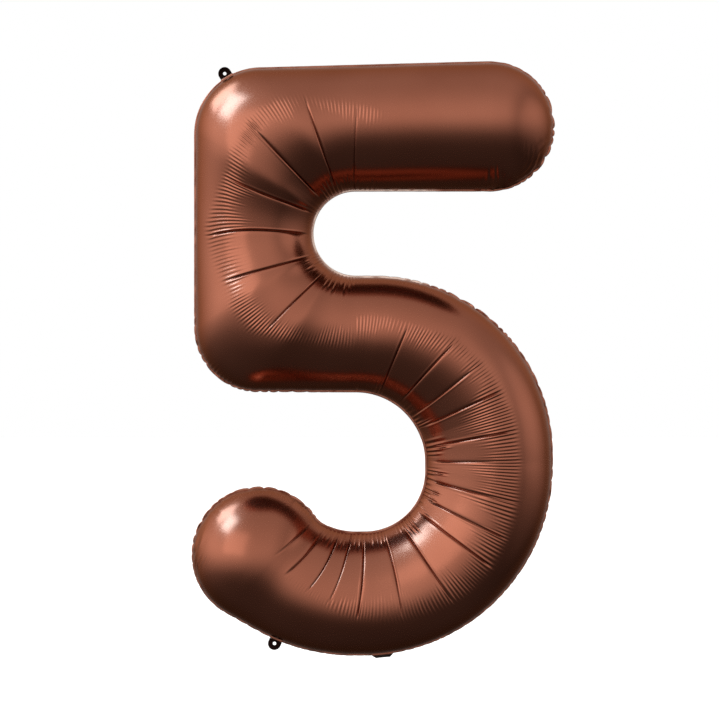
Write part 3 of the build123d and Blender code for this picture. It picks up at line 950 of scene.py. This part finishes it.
class BALLOON_OT_valve(bpy.types.Operator):
    """Finish the two plies of the valve sleeve inside the balloon"""

    bl_idname = "balloon.valve"
    bl_label = "Valve sleeve"

    def execute(self, context):
        material = valve_film()
        for name in ("valve_front_ply", "valve_back_ply"):
            mesh = frame["nodes"][name].data
            mesh.materials.clear()
            mesh.materials.append(material)
        return {"FINISHED"}


def area_light(name, place, aim, size, power, tint):
    """A soft box that faces its aim."""
    data = bpy.data.lights.new(name, "AREA")
    data.shape, data.size, data.size_y = "RECTANGLE", size[0], size[1]
    data.energy, data.color = power, tint
    lamp = bpy.data.objects.new(name, data)
    lamp.location = place
    lamp.rotation_euler = (aim - place).to_track_quat("-Z", "Y").to_euler()
    bpy.context.scene.collection.objects.link(lamp)


# The lights: name, what its place and aim are counted from, place, aim, size, power and tint.
LIGHTS = [
    ("key_softbox", "middle", (-1.7, -2.2, 1.3), (0, 0, 0), (2.4, 2.0), 9, (1, 1, 1)),
    ("corner_kicker", "top_hang_hole", (-1.7, -0.5, 1.65), (0, 0, -0.03), (1.1, 1.1), 40, (0.3, 0.68, 1)),
    ("rim_light", "top_hang_hole", (-1.75, 0.75, 1.75), (0, 0, -0.03), (1.2, 1.2), 34, (0.4, 0.72, 1)),
]
# How light the room is, by the upward, the rightward and the backward part of the direction looked in.
ROOM = {
    "Z": [(-1, 0.07), (-0.6, 0.09), (-0.35, 0.17), (-0.1, 0.5), (0.1, 0.85), (0.3, 1), (0.6, 0.9), (1, 0.65)],
    "X": [(-1, 1.5), (-0.6, 1.2), (0, 1), (0.5, 0.95), (0.66, 0.75), (0.76, 0.6), (0.86, 0.85), (1, 1)],
    "Y": [(-1, 1), (0, 1), (0.5, 0.8), (1, 0.6)],
}
# The view: its middle on the outline, its width there and its distance.
VIEW_CENTRE = (0.2377, 0.4279)
VIEW_WIDE = 1.0458
VIEW_AWAY = 4.2
FLOOR_BELOW, FLOOR_WIDE = 0.5, 30  # how far under the balloon the floor lies, and how far it spreads


def add_camera(scene):
    """A camera that looks straight at the figure from in front."""
    x, z = into_frame(Figure(), *VIEW_CENTRE)
    data = bpy.data.cameras.new("camera")
    data.lens = data.sensor_width * VIEW_AWAY / VIEW_WIDE
    camera = bpy.data.objects.new("camera", data)
    camera.location = (x, -VIEW_AWAY, z)
    camera.rotation_euler = (math.pi / 2, 0, 0)
    scene.collection.objects.link(camera)
    scene.camera = camera


def add_floor(scene, height):
    """A pale, faintly glowing floor that the film doesn't mirror."""
    bm = bmesh.new()
    bmesh.ops.create_grid(bm, x_segments=8, y_segments=8, size=FLOOR_WIDE)
    bmesh.ops.translate(bm, verts=bm.verts, vec=(0, 0, height))
    made, tree = new_material("pale_studio_floor")
    settings = {"Base Color": finish().floor, "Roughness": 0.8, "Emission Strength": 0.6}
    shader = node(tree, "BsdfPrincipled", {**settings, "Emission Color": (1, 1, 1, 1)})
    node(tree, "OutputMaterial", {}, {"Surface": shader.outputs["BSDF"]})
    mesh = bpy.data.meshes.new("floor")
    bm.to_mesh(mesh)
    bm.free()
    mesh.materials.append(made)
    floor = bpy.data.objects.new("floor", mesh)
    scene.collection.objects.link(floor)
    floor.visible_glossy = False


def add_room(scene):
    """The dim room that the film mirrors, dark below and light to the left. The camera sees white instead."""
    world = bpy.data.worlds.new("studio")
    scene.world = world
    world.use_nodes = True
    tree = world.node_tree
    tree.nodes.clear()
    place = node(tree, "TexCoord")
    split = node(tree, "SeparateXYZ", {}, {0: place.outputs["Generated"]})
    light = None
    for side, stops in ROOM.items():
        ranged = node(tree, "MapRange", {"From Min": -1.0}, {"Value": split.outputs[side]})
        ramp = node(tree, "ValToRGB", {}, {0: ranged.outputs["Result"]})
        marks = ramp.color_ramp.elements
        marks[0].color, marks[1].color = [(value, value, value, 1) for _, value in (stops[0], stops[-1])]
        for at, value in stops[1:-1]:
            marks.new((at + 1) / 2).color = (value, value, value, 1)
        here = ramp.outputs["Color"]
        times = {"operation": "MULTIPLY"}
        light = node(tree, "Math", times, {0: light, 1: here}).outputs[0] if light else here
    room = node(tree, "Background", {"Color": (1, 0.97, 0.95, 1)}, {"Strength": light})
    white = node(tree, "Background", {"Color": (1, 1, 1, 1), "Strength": 1.0})
    path = node(tree, "LightPath")
    views = {0: path.outputs["Is Camera Ray"], 1: room.outputs[0], 2: white.outputs[0]}
    mix = node(tree, "MixShader", {}, views)
    node(tree, "OutputWorld", {}, {"Surface": mix.outputs[0]})


class BALLOON_OT_stage(bpy.types.Operator):
    """Set the pale floor, the soft light and the camera"""

    bl_idname = "balloon.stage"
    bl_label = "Stage"

    def execute(self, context):
        low, high = CAD_BOX
        add_camera(context.scene)
        add_floor(context.scene, low[2] - FLOOR_BELOW)
        context.scene.view_settings.view_transform = "Standard"
        add_room(context.scene)
        starts = {"middle": (low + high) / 2, **MOUNTS}
        for name, start, place, aim, size, power, tint in LIGHTS:
            area_light(name, starts[start] + Vector(place), starts[start] + Vector(aim), size, power, tint)
        return {"FINISHED"}


class BALLOON_PT_panel(bpy.types.Panel):
    """Lists the balloon's operators and sizes"""

    bl_label = "Foil number balloon"
    bl_space_type = "VIEW_3D"
    bl_region_type = "UI"
    bl_category = "Balloon"

    def draw(self, context):
        for operator in OPERATORS:
            self.layout.operator(operator.bl_idname)
        for group in (sizes(), film(), finish()):
            for key in group.bl_rna.properties.keys():
                if key not in ("rna_type", "name"):
                    self.layout.prop(group, key)


OPERATORS = (
    BALLOON_OT_stage,
    BALLOON_OT_panels,
    BALLOON_OT_margin,
    BALLOON_OT_tabs,
    BALLOON_OT_filler,
    BALLOON_OT_valve,
)
GROUPS = (
    ("figure_sizes", FigureSizes),
    ("film_sizes", FilmSizes),
    ("finish_colours", FinishColours),
)


def register():
    for name, group in GROUPS:
        bpy.utils.register_class(group)
        setattr(bpy.types.Scene, name, PointerProperty(type=group))
    for made in (*OPERATORS, BALLOON_PT_panel):
        bpy.utils.register_class(made)


def unregister():
    for made in (BALLOON_PT_panel, *reversed(OPERATORS)):
        bpy.utils.unregister_class(made)
    for name, group in reversed(GROUPS):
        delattr(bpy.types.Scene, name)
        bpy.utils.unregister_class(group)


def main():
    register()
    bpy.ops.balloon.stage()
    bpy.ops.balloon.panels()
    bpy.ops.balloon.margin()
    bpy.ops.balloon.tabs()
    bpy.ops.balloon.filler()
    bpy.ops.balloon.valve()


if __name__ == "__main__":
    main()
